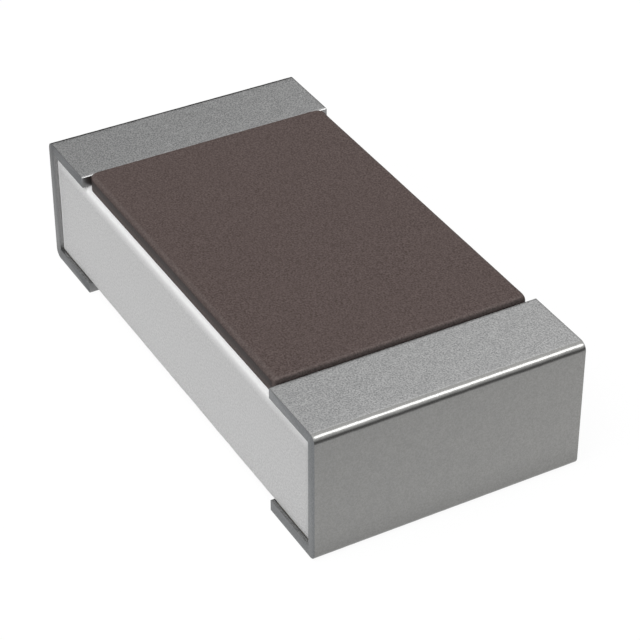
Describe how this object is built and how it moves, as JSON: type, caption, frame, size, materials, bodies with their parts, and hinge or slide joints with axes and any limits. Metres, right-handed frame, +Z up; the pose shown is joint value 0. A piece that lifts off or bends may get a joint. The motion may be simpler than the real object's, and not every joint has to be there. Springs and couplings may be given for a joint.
{
  "type": "surface-mount chip resistor",
  "caption": "Flat rectangular ceramic chip with a brown resin coat on top and a grey C-shaped plated termination round each end.",
  "frame": {"origin": "middle of the chip, halfway between the surface it stands on and the top of the overcoat", "axes": "+X along the chip towards the right termination, +Y across it, +Z up through the coated face"},
  "size_m": [0.0016, 0.0008, 0.0004],
  "materials": {
    "alumina": "fired, matt, pale grey-white",
    "resin_overcoat": "matt brown-grey resin with a fine grain",
    "resistor_paste": "fired black film",
    "glass_coat": "fired tinted glass",
    "printed_silver": "fired silver print, satin",
    "edge_conductor": "satin",
    "nickel": "satin plating",
    "tin": "matt tin plating with a fine grain"
  },
  "bodies": {
    "root": {"ceramic_substrate": "alumina", "protective_overcoat": "resin_overcoat", "resistor_film": "resistor_paste", "glass_undercoat": "glass_coat", "inner_electrode_left": "printed_silver", "inner_electrode_right": "printed_silver", "underside_electrode_left": "printed_silver", "underside_electrode_right": "printed_silver", "edge_electrode_left": "edge_conductor", "edge_electrode_right": "edge_conductor", "nickel_barrier_left": "nickel", "nickel_barrier_right": "nickel", "tin_terminal_left": "tin", "tin_terminal_right": "tin"}
  },
  "joints": []
}
